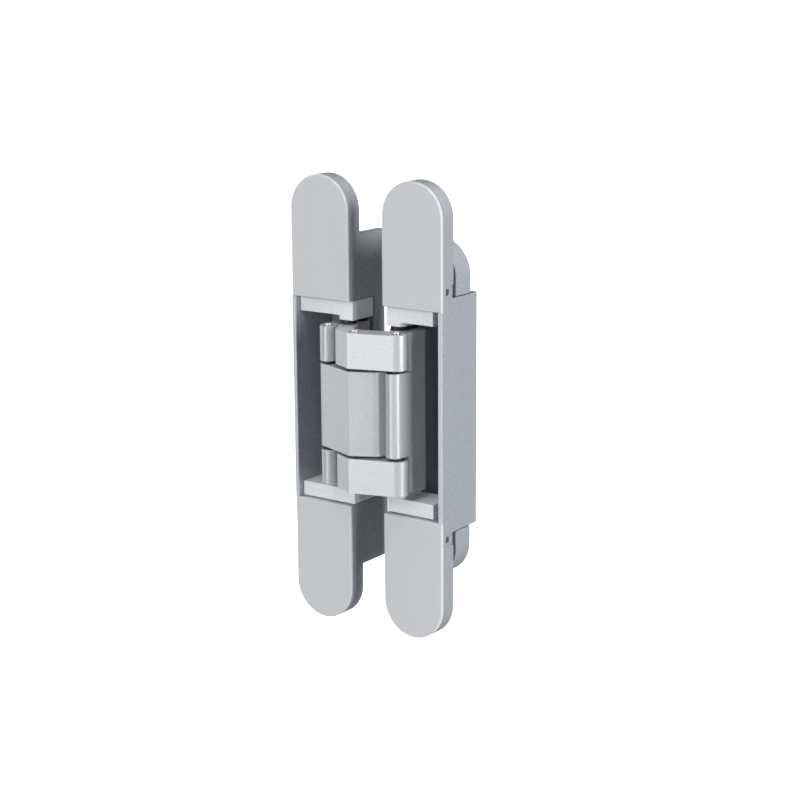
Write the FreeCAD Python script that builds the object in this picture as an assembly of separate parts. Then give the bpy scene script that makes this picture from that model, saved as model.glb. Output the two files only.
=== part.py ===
import FreeCAD, Part
import math
import os

# Concealed door hinge with seven pivots, drawn fully open with both leaves in one plane.
# X runs across the leaves, Y runs into the timber, Z runs up along the leaves.
# Shapes are drawn with Y measured from the leaves' faces, and saved with the origin midway
# between the frame leaf's fixing screws on its seating plane. The door leaf lies at minus X.

# Heights of the layers in the folding stack, from the middle outwards
middle_half_height = 14.8
layer_gap = 1.1
outer_plate_height = 12.3
leaf_washer_gap = 1.5
boss_step = 1.55
carrier_height = 5.15
carrier_end_gap = 0.25
end_wall = 4.25

# Leaves
leaf_length = 160.0
leaf_width = 24.5
leaf_pitch = 39.0
cover_depth = 2.6
flange_depth = 7.1
body_depth = 22.5
outer_wall = 1.4
back_wall = 1.2
body_corner = 1.6
side_opening_depth = 16.1
rib_width = 3.5
rib_length = 18.7
clip_recess_height = 4.6
clip_recess_depth = 0.4
clip_slot_height = 2.2
clip_slot_depth = 2.4
clip_slot_front = 3.1
clip_slot_width = 1.8

# Covers
cover_skin = 1.2
cover_rim = 1.3
cover_edge = 0.5
peg_radius = 1.2
peg_length = 2.6
peg_clearance = 0.1
peg_x = 8.4
peg_offset = 10.5

# Fixing and adjusting screws
fixing_radius = 2.7
fixing_sink_radius = 4.6
fixing_sink_depth = 1.9
fixing_inset = 12.0
clamp_screw_offset = 4.6
clamp_screw_radius = 2.0
clamp_screw_head_radius = 3.4
clamp_screw_head_depth = 2.2
clamp_access_radius = 3.8
clamp_screw_clearance = 0.1
guide_screw_spacing = 9.3
guide_screw_radius = 2.5
guide_screw_head_radius = 3.9
guide_screw_head_depth = 1.9
guide_screw_clearance = 0.1
socket_width = 2.6
socket_depth = 1.3

# Guides that fill the round ends of the mortise behind the flange
guide_front = 8.6
guide_back = 17.4
guide_rib_gap = 0.4
guide_end_gap = 0.4

# Carriers
carrier_front = 2.6
carrier_back = 14.6
frame_carrier_width = 19.2
door_carrier_gap = 0.2
boss_radius = 3.4
neck_half_width = 6.0
neck_depth = 5.0
neck_end_gap = 1.9
neck_fit = 0.1
side_travel = 1.0
depth_travel = 1.0
travel_spare = 0.2

# Linkage, as distance from the middle plane between the leaves and place along Y
arm_pivot = (10.65, 5.2)
link_pivot = (10.72, 11.8)
outer_pivot = (14.5, -1.9)
centre_pivot = (0.0, -6.2)
arm_corner = (6.3, -3.75)
link_bulge = (16.1, 8.7)
link_nose = (15.5, 4.4)
frame_hole_shift = (-0.618, -0.755)
door_hole_shift = (-0.56, 0.799)
open_hole_radius = 2.38

# Arm and link sections
arm_radius = 3.6
corner_radius = 3.0
arm_end_radius = 3.75
arm_barrel_radius = 3.2
link_barrel_radius = 3.1
link_bulge_radius = 2.5
link_nose_radius = 2.3
open_knuckle_radius = 2.95
door_knuckle_radius = 2.95
barrel_scoop = 0.35
knuckle_scoop = 0.3
middle_scoop_radius = 4.3

# Pins, bushes and washers
outer_pin_radius = 1.35
centre_pin_radius = 1.45
leaf_pin_radius = 1.9
pin_proud = 0.8
pin_edge = 0.3
recess_radius = 1.95
recess_depth = 0.5
leaf_pin_seat = 5.7
bush_wall = 0.55
running_gap = 0.04
washer_radius = 2.9
centre_washer_radius = 3.0
outer_washer_radius = 2.6
washer_face_gap = 0.05

middle_x = -leaf_pitch / 2.0
half_width = leaf_width / 2.0
end_centre_z = leaf_length / 2.0 - half_width
outer_inside = half_width - outer_wall
layer_low = middle_half_height + layer_gap
stack_half_height = layer_low + outer_plate_height
carrier_boss_low = stack_half_height + leaf_washer_gap
carrier_low = carrier_boss_low + boss_step
cover_inner_end = carrier_low + carrier_height + carrier_end_gap
body_half_height = cover_inner_end + end_wall
rib_half_height = body_half_height + rib_length
fixing_z = leaf_length / 2.0 - fixing_inset
clamp_screw_z = body_half_height + clamp_screw_offset
guide_screw_z = clamp_screw_z + guide_screw_spacing
peg_z = clamp_screw_z + peg_offset
neck_reach = guide_screw_z - guide_screw_radius - neck_end_gap
leaf_pin_reach = carrier_boss_low + leaf_pin_seat


def block(x0, x1, y0, y1, z0, z1):
    return Part.makeBox(x1 - x0, y1 - y0, z1 - z0, FreeCAD.Vector(x0, y0, z0))


def post(place, radius, z0, z1):
    base = FreeCAD.Vector(place[0], place[1], z0)
    return Part.makeCylinder(radius, z1 - z0, base, FreeCAD.Vector(0, 0, 1))


def round_along_y(x, z, radius, y0, y1):
    base = FreeCAD.Vector(x, y0, z)
    return Part.makeCylinder(radius, y1 - y0, base, FreeCAD.Vector(0, 1, 0))


def strap(first, second, first_radius, second_radius, z0, z1):
    """Band round two circles: what a belt round both would enclose."""
    dx = second[0] - first[0]
    dy = second[1] - first[1]
    gap = math.hypot(dx, dy)
    along = math.atan2(dy, dx)
    lean = math.acos((first_radius - second_radius) / gap)
    corners = []
    for centre, radius, angle in (
        (first, first_radius, along + lean),
        (second, second_radius, along + lean),
        (second, second_radius, along - lean),
        (first, first_radius, along - lean),
    ):
        x = centre[0] + radius * math.cos(angle)
        y = centre[1] + radius * math.sin(angle)
        corners.append(FreeCAD.Vector(x, y, z0))
    outline = Part.makePolygon(corners + [corners[0]])
    web = Part.Face(outline).extrude(FreeCAD.Vector(0, 0, z1 - z0))
    return web.fuse([post(first, first_radius, z0, z1), post(second, second_radius, z0, z1)])


def frame_point(place):
    """A linkage point on the frame leaf's side."""
    return (middle_x + place[0], place[1])


def door_point(place):
    """The same point mirrored to the door leaf's side."""
    return (middle_x - place[0], place[1])


def to_door(shape):
    return shape.mirror(FreeCAD.Vector(middle_x, 0, 0), FreeCAD.Vector(1, 0, 0))


def upside_down(shape):
    return shape.mirror(FreeCAD.Vector(0, 0, 0), FreeCAD.Vector(0, 0, 1))


def both_ends(shape):
    return shape.fuse(upside_down(shape))


def grouped(*shapes):
    """Several separate solids kept together in one piece of the record."""
    solids = []
    for shape in shapes:
        solids.extend(shape.Solids)
    return Part.makeCompound(solids)


def clean(shape):
    tidy = shape.removeSplitter()
    return tidy.Solids[0] if len(tidy.Solids) == 1 else tidy


def save(name, shape):
    seated = shape.translated(FreeCAD.Vector(0, -flange_depth, 0))
    seated.exportStep("parts/" + name + ".step")


def end_plate(y0, y1, inner_z):
    """Flat plate with a round outer end, from inner_z to the leaf's tip."""
    plate = block(-half_width, half_width, y0, y1, inner_z, end_centre_z)
    return clean(plate.fuse(round_along_y(0, end_centre_z, half_width, y0, y1)))


def make_housing(slotted):
    """Die-cast leaf: two flanges, the mortise box between them and the inner ribs."""
    box = block(-half_width, half_width, 0, body_depth, -body_half_height, body_half_height)
    corners = [e for e in box.Edges if abs(e.BoundBox.YMin - body_depth) < 0.01
               and e.BoundBox.YLength < 0.01 and e.BoundBox.ZLength > leaf_width]
    box = box.makeFillet(body_corner, corners)
    for low, high in ((cover_inner_end, body_half_height), (-body_half_height, -cover_inner_end)):
        box = box.cut(block(-half_width - 1, half_width + 1, -1, cover_depth, low, high))
    flange = end_plate(cover_depth, flange_depth, cover_inner_end)
    rib = block(-half_width, -half_width + rib_width, flange_depth, body_depth, cover_inner_end,
                rib_half_height)
    housing = box.fuse([both_ends(flange), both_ends(rib)])

    pocket = block(-half_width + outer_wall, outer_inside, -1, body_depth - back_wall,
                   -cover_inner_end, cover_inner_end)
    side_opening = block(-half_width - 1, 0, -1, side_opening_depth,
                         -cover_inner_end, cover_inner_end)
    housing = housing.cut([pocket, side_opening])

    neck_room = neck_half_width + depth_travel + travel_spare
    neck_passage = block(-neck_room, neck_room, guide_front - side_travel - travel_spare,
                         guide_front + neck_depth + side_travel + travel_spare,
                         cover_inner_end - 1, body_half_height + 1)
    clip_recess = block(half_width - clip_recess_depth, half_width + 1, 0, flange_depth + 1,
                        body_half_height, body_half_height + clip_recess_height)
    slot_low = body_half_height + (clip_recess_height - clip_slot_height) / 2
    clip_slot = block(half_width - clip_slot_depth, half_width + 1, clip_slot_front,
                      clip_slot_front + clip_slot_width, slot_low, slot_low + clip_slot_height)
    housing = housing.cut([both_ends(neck_passage), both_ends(clip_recess.fuse(clip_slot))])

    holes = []
    for side in (-1, 1):
        z = side * fixing_z
        holes.append(round_along_y(0, z, fixing_radius, 0, flange_depth + 1))
        holes.append(Part.makeCone(fixing_sink_radius, fixing_radius, fixing_sink_depth,
                                   FreeCAD.Vector(0, cover_depth, z), FreeCAD.Vector(0, 1, 0)))
        z = side * guide_screw_z
        holes.append(round_along_y(0, z, guide_screw_radius + guide_screw_clearance, 0,
                                   flange_depth + 1))
        holes.append(round_along_y(0, z, guide_screw_head_radius + guide_screw_clearance,
                                   cover_depth, cover_depth + guide_screw_head_depth))
        z = side * clamp_screw_z
        slot = depth_travel if slotted else 0.0
        for shift in (-slot, slot):
            holes.append(round_along_y(shift, z, clamp_access_radius, 0, flange_depth + 1))
        if slotted:
            holes.append(block(-slot, slot, 0, flange_depth + 1,
                               z - clamp_access_radius, z + clamp_access_radius))
        for x in (-peg_x, peg_x):
            holes.append(round_along_y(x, side * peg_z, peg_radius + peg_clearance, cover_depth,
                                       cover_depth + peg_length + peg_clearance))
    return clean(housing.cut(holes))


def make_cover():
    """Clip-on cap for the upper end of a leaf, hollow behind."""
    cap = end_plate(0, cover_depth, cover_inner_end)
    front = [e for e in cap.Edges if e.BoundBox.YMax < 0.01]
    cap = cap.makeFillet(cover_edge, front)
    inside = block(-half_width + cover_rim, half_width - cover_rim, cover_skin, cover_depth + 1,
                   cover_inner_end + cover_rim, end_centre_z)
    inside = inside.fuse(round_along_y(0, end_centre_z, half_width - cover_rim, cover_skin,
                                       cover_depth + 1))
    cap = cap.cut(inside)
    pegs = []
    for x in (-peg_x, peg_x):
        pegs.append(round_along_y(x, peg_z, peg_radius, cover_skin / 2, cover_depth + peg_length))
    return clean(cap.fuse(pegs))


def make_guide(play):
    """Round-ended block behind the flange that carries the neck of a carrier."""
    low = body_half_height + guide_end_gap
    left = -half_width + rib_width + guide_rib_gap
    round_z = rib_half_height - half_width
    plate = block(-half_width, half_width, guide_front, guide_back, low, round_z)
    plate = plate.fuse(round_along_y(0, round_z, half_width, guide_front, guide_back))
    plate = plate.cut([block(-half_width - 1, left, 0, body_depth, 0, leaf_length),
                       block(-half_width - 1, half_width + 1, 0, body_depth, 0, low)])
    room = neck_half_width + neck_fit + play
    pocket = block(-room, room, guide_front - 1, guide_front + neck_depth + neck_fit,
                   low - 1, neck_reach + neck_fit)
    screw_hole = round_along_y(0, guide_screw_z, guide_screw_radius + guide_screw_clearance,
                               guide_front - 1, guide_back - 1.2)
    plate = plate.cut([pocket, screw_hole])
    for shift in (-play, play):
        plate = plate.cut(round_along_y(shift, clamp_screw_z,
                                        clamp_screw_radius + clamp_screw_clearance,
                                        guide_front, guide_back + 1))
    if play > 0:
        plate = plate.cut(block(-play, play, guide_front, guide_back + 1,
                                clamp_screw_z - clamp_screw_radius - clamp_screw_clearance,
                                clamp_screw_z + clamp_screw_radius + clamp_screw_clearance))
    return clean(plate)


def make_carrier(width):
    """Upper pivot carrier of the frame leaf: block, pivot boss and neck."""
    top = cover_inner_end - carrier_end_gap
    carrier_outer = width - half_width
    arm_at = frame_point(arm_pivot)
    link_at = frame_point(link_pivot)
    body = block(-half_width, carrier_outer, carrier_front, carrier_back, carrier_low, top)
    boss = strap(arm_at, link_at, boss_radius, boss_radius, carrier_boss_low, carrier_low)
    boss = boss.fuse(block(-half_width, arm_at[0], carrier_front, carrier_back,
                           carrier_boss_low, carrier_low))
    boss = boss.common(block(-half_width, carrier_outer, carrier_front, carrier_back,
                             carrier_boss_low, carrier_low))
    neck = block(-neck_half_width, neck_half_width, guide_front, guide_front + neck_depth,
                 carrier_low, neck_reach)
    carrier = body.fuse([boss, neck])
    pins = [post(arm_at, leaf_pin_radius, 0, leaf_pin_reach),
            post(link_at, leaf_pin_radius, 0, leaf_pin_reach)]
    screw = round_along_y(0, clamp_screw_z, clamp_screw_radius + clamp_screw_clearance,
                          guide_front - 1, body_depth)
    head = round_along_y(0, clamp_screw_z, clamp_screw_head_radius + clamp_screw_clearance,
                         guide_front - 1, guide_front + clamp_screw_head_depth)
    return clean(carrier.cut(pins + [screw, head]))


def make_screw(z, radius, head_radius, head_depth, y0, y1):
    """Socket screw along Y with its head at the front."""
    head = round_along_y(0, z, head_radius, y0, y0 + head_depth)
    rim = [e for e in head.Edges if e.BoundBox.YMax < y0 + 0.01]
    head = head.makeFillet(0.3, rim)
    shank = round_along_y(0, z, radius, y0 + head_depth, y1)
    screw = head.fuse(shank)
    socket = hexagon_along_y(0, z, socket_width, y0 - 1, y0 + socket_depth)
    return clean(screw.cut(socket))


def hexagon_along_y(x, z, width, y0, y1):
    """Prism with the given width across its flats."""
    corner = width / math.sqrt(3.0)
    points = []
    for step in range(7):
        angle = math.radians(60.0 * step)
        points.append(FreeCAD.Vector(x + corner * math.cos(angle), y0, z + corner * math.sin(angle)))
    return Part.Face(Part.makePolygon(points)).extrude(FreeCAD.Vector(0, y1 - y0, 0))


def front_tangent(centre, other, other_radius):
    """Direction in which a strap's front side touches the arm's circle at the centre pin."""
    dx = other[0] - centre[0]
    dy = other[1] - centre[1]
    along = math.atan2(dy, dx)
    lean = math.acos((arm_radius - other_radius) / math.hypot(dx, dy))
    angle = along - lean if dx > 0 else along + lean - 2 * math.pi
    return angle


def crease(centre, right, right_radius, left, left_radius, z0, z1):
    """Wedge that brings an arm's two flat front faces to an edge in front of the centre pin."""
    right_angle = front_tangent(centre, right, right_radius)
    left_angle = front_tangent(centre, left, left_radius)
    middle = (right_angle + left_angle) / 2
    reach = arm_radius / math.cos((right_angle - left_angle) / 2)
    points = [FreeCAD.Vector(centre[0], centre[1], z0)]
    for angle, radius in ((right_angle, arm_radius), (middle, reach), (left_angle, arm_radius)):
        x = centre[0] + radius * math.cos(angle)
        y = centre[1] + radius * math.sin(angle)
        points.append(FreeCAD.Vector(x, y, z0))
    outline = Part.makePolygon(points + [points[0]])
    return Part.Face(outline).extrude(FreeCAD.Vector(0, 0, z1 - z0))


def arm_profile(near, corner, centre, far, near_radius, far_radius, z0, z1):
    """Front bar from the far end over the centre pin, and the leg back to the leaf pin."""
    leg = strap(near, corner, near_radius, corner_radius, z0, z1)
    elbow = strap(corner, centre, corner_radius, arm_radius, z0, z1)
    bar = strap(centre, far, arm_radius, far_radius, z0, z1)
    if far[0] > centre[0]:
        edge = crease(centre, far, far_radius, corner, corner_radius, z0, z1)
    else:
        edge = crease(centre, corner, corner_radius, far, far_radius, z0, z1)
    return clean(leg.fuse([elbow, bar, edge]))


def pin_recesses(place, level):
    return [post(place, recess_radius, level - recess_depth, level + 1),
            post(place, recess_radius, -level - 1, -level + recess_depth)]


def make_frame_arm():
    """Middle arm: turns on the frame leaf and reaches across to the door link."""
    near = frame_point(arm_pivot)
    centre = frame_point(centre_pivot)
    far = door_point(outer_pivot)
    hole_at = (far[0] + door_hole_shift[0], far[1] + door_hole_shift[1])
    arm = arm_profile(near, frame_point(arm_corner), centre, hole_at, arm_barrel_radius,
                      open_knuckle_radius, -middle_half_height, middle_half_height)
    arm = arm.fuse(post(near, arm_barrel_radius, -stack_half_height, stack_half_height))
    tall = 2 * stack_half_height
    arm = arm.cut([post(near, leaf_pin_radius + bush_wall, -tall, tall),
                   post(centre, centre_pin_radius + bush_wall, -tall, tall),
                   post(hole_at, open_hole_radius, -tall, tall)])
    return clean(arm)


def make_door_arm():
    """Forked arm: upper and lower plates joined by the barrel on the door leaf."""
    near = door_point(arm_pivot)
    centre = frame_point(centre_pivot)
    far = frame_point(outer_pivot)
    plate = arm_profile(near, door_point(arm_corner), centre, far, arm_barrel_radius,
                        arm_end_radius, layer_low, stack_half_height)
    arm = both_ends(plate).fuse(post(near, arm_barrel_radius, -stack_half_height,
                                     stack_half_height))
    tall = 2 * stack_half_height
    arm = arm.cut([post(near, leaf_pin_radius + bush_wall, -tall, tall),
                   post(centre, centre_pin_radius, -tall, tall),
                   post(far, outer_pin_radius, -tall, tall)]
                  + pin_recesses(centre, stack_half_height)
                  + pin_recesses(far, stack_half_height))
    return clean(arm)


def link_body():
    """Crescent of full height that passes behind the arm's barrel, on the frame side."""
    near = frame_point(link_pivot)
    bulge = frame_point(link_bulge)
    nose = frame_point(link_nose)
    low, high = -stack_half_height, stack_half_height
    back = strap(near, bulge, link_barrel_radius, link_bulge_radius, low, high)
    front = strap(bulge, nose, link_bulge_radius, link_nose_radius, low, high)
    return back.fuse(front)


def finish_link(body):
    """Clears the arm's leg as it stands at rest, and bores the barrel."""
    tall = 2 * stack_half_height
    leg_room = strap(frame_point(arm_pivot), frame_point(arm_corner),
                     arm_barrel_radius + barrel_scoop, corner_radius + barrel_scoop, -tall, tall)
    bore = post(frame_point(link_pivot), leaf_pin_radius + bush_wall, -tall, tall)
    return clean(body.cut([leg_room, bore]))


def make_frame_link():
    """Link on the frame leaf with one knuckle between the plates of the forked arm."""
    nose = frame_point(link_nose)
    pin_at = frame_point(outer_pivot)
    hole_at = (pin_at[0] + frame_hole_shift[0], pin_at[1] + frame_hole_shift[1])
    scoop = post(pin_at, arm_end_radius + knuckle_scoop, middle_half_height, stack_half_height + 1)
    body = link_body().cut(both_ends(scoop))
    knuckle = strap(nose, hole_at, link_nose_radius, open_knuckle_radius,
                    -middle_half_height, middle_half_height)
    body = finish_link(body.fuse(knuckle))
    return clean(body.cut(post(hole_at, open_hole_radius, -stack_half_height, stack_half_height)))


def make_door_link():
    """Link on the door leaf with two knuckles above and below the middle arm."""
    nose = frame_point(link_nose)
    pin_at = frame_point(outer_pivot)
    scoop = post(pin_at, middle_scoop_radius, -layer_low, layer_low)
    body = link_body().cut(scoop)
    knuckle = strap(nose, pin_at, link_nose_radius, door_knuckle_radius, layer_low,
                    stack_half_height)
    body = finish_link(body.fuse(both_ends(knuckle)))
    body = body.cut([post(pin_at, outer_pin_radius, -2 * stack_half_height, 2 * stack_half_height)]
                    + pin_recesses(pin_at, stack_half_height))
    return to_door(clean(body))


def make_pin(place, radius, reach):
    pin = post(place, radius, -reach, reach)
    ends = [e for e in pin.Edges if e.BoundBox.ZLength < 0.01]
    return pin.makeFillet(pin_edge, ends)


def make_ring(place, inner, outer, z0, z1):
    return post(place, outer, z0, z1).cut(post(place, inner, z0 - 1, z1 + 1))


def make_bush(place, pin_radius, half_height):
    return make_ring(place, pin_radius + running_gap, pin_radius + bush_wall,
                     -half_height, half_height)


def ring_pair(place, inner, outer, low, high):
    upper = make_ring(place, inner, outer, low + washer_face_gap, high - washer_face_gap)
    return grouped(upper, upside_down(upper))


os.makedirs("parts", exist_ok=True)

cover = make_cover()
frame_carrier = make_carrier(frame_carrier_width)
door_carrier = make_carrier(leaf_width - outer_wall - door_carrier_gap)
frame_guide = make_guide(depth_travel + travel_spare)
door_guide = make_guide(0.0)

save("frame_housing", make_housing(True))
save("frame_cover_top", cover)
save("frame_cover_bottom", upside_down(cover))
save("frame_guide_top", frame_guide)
save("frame_guide_bottom", upside_down(frame_guide))
save("frame_carrier_top", frame_carrier)
save("frame_carrier_bottom", upside_down(frame_carrier))

save("door_housing", to_door(make_housing(False)))
save("door_cover_top", to_door(cover))
save("door_cover_bottom", to_door(upside_down(cover)))
save("door_guide_top", to_door(door_guide))
save("door_guide_bottom", to_door(upside_down(door_guide)))
save("door_carrier_top", to_door(door_carrier))
save("door_carrier_bottom", to_door(upside_down(door_carrier)))

guide_screw = make_screw(guide_screw_z, guide_screw_radius, guide_screw_head_radius,
                         guide_screw_head_depth, cover_depth, guide_back - 2.5)
clamp_screw = make_screw(clamp_screw_z, clamp_screw_radius, clamp_screw_head_radius,
                         clamp_screw_head_depth, guide_front, guide_back - 0.4)
save("frame_guide_screws", grouped(guide_screw, upside_down(guide_screw)))
save("frame_clamp_screws", grouped(clamp_screw, upside_down(clamp_screw)))
save("door_guide_screws", to_door(grouped(guide_screw, upside_down(guide_screw))))
save("door_clamp_screws", to_door(grouped(clamp_screw, upside_down(clamp_screw))))

save("frame_arm", make_frame_arm())
save("door_arm", make_door_arm())
save("frame_link", make_frame_link())
save("door_link", make_door_link())

pin_top = stack_half_height + pin_proud
save("centre_pin", make_pin(frame_point(centre_pivot), centre_pin_radius, pin_top))
save("frame_link_outer_pin", make_pin(frame_point(outer_pivot), outer_pin_radius, pin_top))
save("door_link_outer_pin", make_pin(door_point(outer_pivot), outer_pin_radius, pin_top))
save("frame_arm_pin", make_pin(frame_point(arm_pivot), leaf_pin_radius, leaf_pin_reach))
save("door_arm_pin", make_pin(door_point(arm_pivot), leaf_pin_radius, leaf_pin_reach))
save("frame_link_pin", make_pin(frame_point(link_pivot), leaf_pin_radius, leaf_pin_reach))
save("door_link_pin", make_pin(door_point(link_pivot), leaf_pin_radius, leaf_pin_reach))

save("centre_bush", make_bush(frame_point(centre_pivot), centre_pin_radius, middle_half_height))
save("frame_arm_bush", make_bush(frame_point(arm_pivot), leaf_pin_radius, stack_half_height))
save("door_arm_bush", make_bush(door_point(arm_pivot), leaf_pin_radius, stack_half_height))
save("frame_link_bush", make_bush(frame_point(link_pivot), leaf_pin_radius, stack_half_height))
save("door_link_bush", make_bush(door_point(link_pivot), leaf_pin_radius, stack_half_height))

washer_bore = leaf_pin_radius + running_gap
save("frame_arm_washers", ring_pair(frame_point(arm_pivot), washer_bore, washer_radius,
                                    stack_half_height, carrier_boss_low))
save("door_arm_washers", ring_pair(door_point(arm_pivot), washer_bore, washer_radius,
                                   stack_half_height, carrier_boss_low))
save("frame_link_washers", ring_pair(frame_point(link_pivot), washer_bore, washer_radius,
                                     stack_half_height, carrier_boss_low))
save("door_link_washers", ring_pair(door_point(link_pivot), washer_bore, washer_radius,
                                    stack_half_height, carrier_boss_low))
save("centre_washers", ring_pair(frame_point(centre_pivot), centre_pin_radius + running_gap,
                                 centre_washer_radius, middle_half_height, layer_low))
save("frame_outer_washers", ring_pair(frame_point(outer_pivot), outer_pin_radius + running_gap,
                                      outer_washer_radius, middle_half_height, layer_low))
save("door_outer_washers", ring_pair(door_point(outer_pivot), outer_pin_radius + running_gap,
                                     outer_washer_radius, middle_half_height, layer_low))
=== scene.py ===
import math

import bpy
from mathutils import Matrix, Vector

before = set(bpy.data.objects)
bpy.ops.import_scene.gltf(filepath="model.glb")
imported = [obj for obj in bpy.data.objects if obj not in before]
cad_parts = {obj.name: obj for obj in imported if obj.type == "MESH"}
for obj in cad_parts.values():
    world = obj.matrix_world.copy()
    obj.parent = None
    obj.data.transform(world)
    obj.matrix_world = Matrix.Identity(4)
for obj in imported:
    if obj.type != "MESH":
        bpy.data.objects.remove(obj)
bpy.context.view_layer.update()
scene = bpy.context.scene

# Camera, from a fit to the photograph's edges. Lengths are metres, angles degrees.
CAMERA_AZIMUTH = 35.47
CAMERA_ELEVATION = 13.18
CAMERA_ROLL = -0.36
CAMERA_DISTANCE = 0.64499
CAMERA_TARGET = Vector((-0.00497, -0.0071, 0.0049))
CAMERA_LENS = 84.863
CAMERA_SENSOR = 36.0
CAMERA_NEAR = 0.01
CAMERA_FAR = 20.0

# Speckled looks: material, metallic, roughness, dark fleck, light fleck, grain, bump
SPECKLED = {
    "cover": ("cover_paint", 0.0, 0.45, (0.26, 0.28, 0.31), (0.4, 0.424, 0.458), 2600.0, 0.06),
    "housing": ("housing_coat", 0.2, 0.5, (0.29, 0.312, 0.345), (0.45, 0.477, 0.515), 2600.0, 0.3),
    "carrier": ("carrier_coat", 0.1, 0.5, (0.78, 0.795, 0.815), (0.9, 0.915, 0.935), 2800.0, 0.25),
    "arm": ("arm_pearl", 0.38, 0.4, (0.475, 0.487, 0.508), (0.575, 0.588, 0.61), 2800.0, 0.15),
}
GRAIN_DETAIL = 3.0
DARK_BELOW = 0.36
LIGHT_ABOVE = 0.66
BUMP_HEIGHT = 0.0001

# Plain looks: material, metallic, roughness, colour
PLAIN = {
    "pin": ("pin_steel", 1.0, 0.27, (0.7, 0.7, 0.71)),
    "screw": ("screw_zinc", 1.0, 0.32, (0.62, 0.63, 0.65)),
    "bearing": ("bearing_plastic", 0.0, 0.4, (0.012, 0.012, 0.013)),
}

# Lighter lip at the leaves' front plane: on the covers it is the cap plate's own lighter colour,
# on the housings it is a painted highlight along the front rims. Colour, depth behind that plane
LIPS = {
    "cover": ((0.62, 0.635, 0.66), 0.0009),
    # painted highlight: the housing's front rim gets a lighter colour that stands for light
    # catching it
    "housing": ((0.62, 0.645, 0.68), 0.0005),
}
FRONT_Y = -0.0071
LIP_BLUR = 0.0001

# Softened edges
EDGE_WIDTHS = {"cover": 0.0003, "housing": 0.0004, "carrier": 0.0004, "arm": 0.00045}
EDGE_SEGMENTS = 3
EDGE_ANGLE = 40.0
WELD_DISTANCE = 0.000005

# Floor, backdrop and light from above
FLOOR_Z = -0.33
FLOOR_SIZE = 30.0
BACKDROP_RADIUS = 6.0
PAPER_COLOUR = (0.95, 0.95, 0.95)
PAPER_ROUGHNESS = 0.9
PAPER_GLOW = 1.0
WHITE = (1.0, 1.0, 1.0, 1.0)
WORLD_STRENGTH = 0.025
OVERHEAD_STRENGTH = 1.2
OVERHEAD_TILT = 12.0
OVERHEAD_SPREAD = 40.0

# Softboxes round the hinge: azimuth, elevation, distance, width and height, power
BOX_DISTANCE = 1.35
SOFTBOXES = {
    "front_box": (-6.0, 9.0, BOX_DISTANCE, (0.9, 1.6), 14.0),
    "right_box": (90.0, 12.0, BOX_DISTANCE, (0.7, 1.1), 21.0),
    "rear_box": (115.0, 15.0, BOX_DISTANCE, (0.8, 1.1), 1.0),
    "strip_box": (40.0, 4.0, BOX_DISTANCE, (0.35, 1.5), 2.2),
    "back_box": (175.0, 20.0, BOX_DISTANCE, (0.7, 1.2), 4.0),
    "floor_box": (60.0, -75.0, 0.335, (0.3, 0.3), 0.35),
    "left_box": (-78.0, 5.0, BOX_DISTANCE, (1.0, 1.4), 6.0),
}


def away_from(azimuth, elevation):
    """Direction from the hinge. Azimuth 0 is in front, 90 on the right."""
    turn = math.radians(azimuth)
    rise = math.radians(elevation)
    return Vector((math.sin(turn) * math.cos(rise), -math.cos(turn) * math.cos(rise),
                   math.sin(rise)))


def place_camera():
    azimuth = math.radians(CAMERA_AZIMUTH)
    roll = math.radians(CAMERA_ROLL)
    back = away_from(CAMERA_AZIMUTH, CAMERA_ELEVATION)
    level_right = Vector((math.cos(azimuth), math.sin(azimuth), 0.0))
    level_up = back.cross(level_right)
    right = level_right * math.cos(roll) + level_up * math.sin(roll)
    up = level_up * math.cos(roll) - level_right * math.sin(roll)
    data = bpy.data.cameras.new("photo_camera")
    data.lens = CAMERA_LENS
    data.sensor_width = CAMERA_SENSOR
    data.clip_start = CAMERA_NEAR
    data.clip_end = CAMERA_FAR
    camera = bpy.data.objects.new("photo_camera", data)
    spin = Matrix((right, up, back)).transposed().to_4x4()
    camera.matrix_world = Matrix.Translation(CAMERA_TARGET + back * CAMERA_DISTANCE) @ spin
    scene.collection.objects.link(camera)
    scene.camera = camera


def new_material(name, metallic, roughness):
    material = bpy.data.materials.new(name)
    material.use_nodes = True
    shader = material.node_tree.nodes["Principled BSDF"]
    shader.inputs["Metallic"].default_value = metallic
    shader.inputs["Roughness"].default_value = roughness
    return material, shader


def add_speckle(material, shader, dark, light, grain, bump):
    """Fine grain of a metallic powder coat: colour flecks and a pebbled surface.

    The noise is in the object's own metres, so the grain has one real size on every piece.
    """
    tree = material.node_tree
    place = tree.nodes.new("ShaderNodeTexCoord")
    noise = tree.nodes.new("ShaderNodeTexNoise")
    noise.inputs["Scale"].default_value = grain
    noise.inputs["Detail"].default_value = GRAIN_DETAIL
    tree.links.new(place.outputs["Object"], noise.inputs["Vector"])
    ramp = tree.nodes.new("ShaderNodeValToRGB")
    low, high = ramp.color_ramp.elements
    low.position = DARK_BELOW
    low.color = (*dark, 1.0)
    high.position = LIGHT_ABOVE
    high.color = (*light, 1.0)
    tree.links.new(noise.outputs["Fac"], ramp.inputs["Fac"])
    tree.links.new(ramp.outputs["Color"], shader.inputs["Base Color"])
    height = tree.nodes.new("ShaderNodeBump")
    height.inputs["Strength"].default_value = bump
    height.inputs["Distance"].default_value = BUMP_HEIGHT
    tree.links.new(noise.outputs["Fac"], height.inputs["Height"])
    tree.links.new(height.outputs["Normal"], shader.inputs["Normal"])


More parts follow.
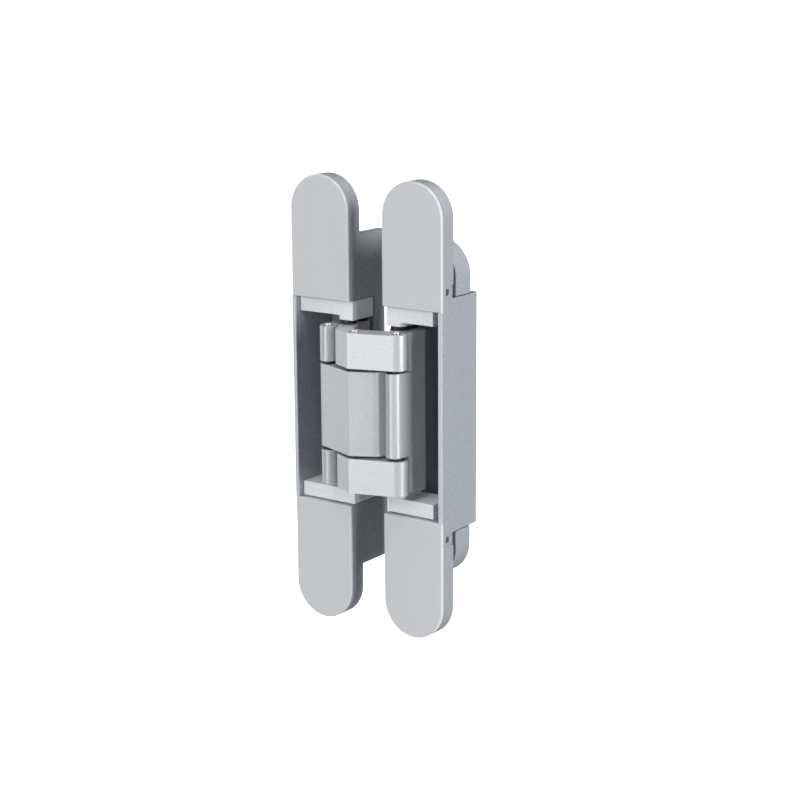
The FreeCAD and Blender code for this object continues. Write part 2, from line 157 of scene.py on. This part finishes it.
def add_front_lip(material, shader, colour, depth):
    """Gives what lies within depth of the leaves' front plane another colour than the coat. On the
    housing this lighter colour is a painted rim highlight.
    """
    tree = material.node_tree
    coat = shader.inputs["Base Color"].links[0].from_socket
    place = tree.nodes.new("ShaderNodeTexCoord")
    axes = tree.nodes.new("ShaderNodeSeparateXYZ")
    step = tree.nodes.new("ShaderNodeMapRange")
    step.inputs["From Min"].default_value = FRONT_Y + depth - LIP_BLUR
    step.inputs["From Max"].default_value = FRONT_Y + depth + LIP_BLUR
    blend = tree.nodes.new("ShaderNodeMixRGB")
    blend.inputs["Color1"].default_value = (*colour, 1.0)
    tree.links.new(place.outputs["Object"], axes.inputs["Vector"])
    tree.links.new(axes.outputs["Y"], step.inputs["Value"])
    tree.links.new(step.outputs["Result"], blend.inputs["Fac"])
    tree.links.new(coat, blend.inputs["Color2"])
    tree.links.new(blend.outputs["Color"], shader.inputs["Base Color"])


def make_materials():
    looks = {}
    for look, (name, metallic, roughness, dark, light, grain, bump) in SPECKLED.items():
        looks[look], shader = new_material(name, metallic, roughness)
        add_speckle(looks[look], shader, dark, light, grain, bump)
        # the housing's lip is a painted rim highlight; the cover's lip is the cap plate's own
        # colour
        if look in LIPS:
            add_front_lip(looks[look], shader, *LIPS[look])
    for look, (name, metallic, roughness, colour) in PLAIN.items():
        looks[look], shader = new_material(name, metallic, roughness)
        shader.inputs["Base Color"].default_value = (*colour, 1.0)
    return looks


def look_for(name):
    if "cover" in name:
        return "cover"
    if "washers" in name or "bush" in name:
        return "bearing"
    if "screws" in name:
        return "screw"
    if "housing" in name or "guide" in name:
        return "housing"
    if "carrier" in name:
        return "carrier"
    if "pin" in name:
        return "pin"
    return "arm"


def round_edges(piece, width):
    """Softens the piece's edges as moulding and plating do, within the solid."""
    weld = piece.modifiers.new("weld", "WELD")
    weld.merge_threshold = WELD_DISTANCE
    bevel = piece.modifiers.new("edge", "BEVEL")
    bevel.width = width
    bevel.segments = EDGE_SEGMENTS
    bevel.limit_method = "ANGLE"
    bevel.angle_limit = math.radians(EDGE_ANGLE)
    normals = piece.modifiers.new("normals", "WEIGHTED_NORMAL")
    normals.keep_sharp = True


def dress_cad():
    looks = make_materials()
    for name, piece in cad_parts.items():
        look = look_for(name)
        for slot in piece.material_slots:
            slot.link = "OBJECT"
            slot.material = looks[look]
        if look in EDGE_WIDTHS:
            round_edges(piece, EDGE_WIDTHS[look])


def add_softbox(name, azimuth, elevation, distance, size, power):
    """Rectangular light at a distance from the origin, aimed at it."""
    away = away_from(azimuth, elevation)
    data = bpy.data.lights.new(name, "AREA")
    data.shape = "RECTANGLE"
    data.size, data.size_y = size
    data.energy = power
    lamp = bpy.data.objects.new(name, data)
    lamp.location = away * distance
    lamp.rotation_mode = "QUATERNION"
    lamp.rotation_quaternion = away.to_track_quat("Z", "Y")
    scene.collection.objects.link(lamp)


def lay_paper():
    """White floor and backdrop, seen only by the camera, so that they don't light the hinge."""
    bpy.ops.mesh.primitive_plane_add(size=FLOOR_SIZE, location=(0.0, 0.0, FLOOR_Z))
    floor = bpy.context.object
    floor.name = "floor"
    paper, shader = new_material("floor_paper", 0.0, PAPER_ROUGHNESS)
    shader.inputs["Base Color"].default_value = (*PAPER_COLOUR, 1.0)
    shader.inputs["Emission Color"].default_value = WHITE
    shader.inputs["Emission Strength"].default_value = PAPER_GLOW
    bpy.ops.mesh.primitive_uv_sphere_add(radius=BACKDROP_RADIUS, segments=48, ring_count=24)
    backdrop = bpy.context.object
    backdrop.name = "backdrop"
    backdrop.visible_shadow = False
    for sheet in (floor, backdrop):
        sheet.data.materials.append(paper)
        sheet.visible_diffuse = False
        sheet.visible_glossy = False


def light_stage():
    world = bpy.data.worlds.new("studio")
    world.use_nodes = True
    sky = world.node_tree.nodes["Background"]
    sky.inputs["Color"].default_value = WHITE
    sky.inputs["Strength"].default_value = WORLD_STRENGTH
    scene.world = world
    data = bpy.data.lights.new("overhead", "SUN")
    data.energy = OVERHEAD_STRENGTH
    data.angle = math.radians(OVERHEAD_SPREAD)
    overhead = bpy.data.objects.new("overhead", data)
    overhead.rotation_euler = (math.radians(OVERHEAD_TILT), 0.0, 0.0)
    scene.collection.objects.link(overhead)
    for name, settings in SOFTBOXES.items():
        add_softbox(name, *settings)


place_camera()
dress_cad()
lay_paper()
light_stage()
scene.view_settings.view_transform = "Standard"
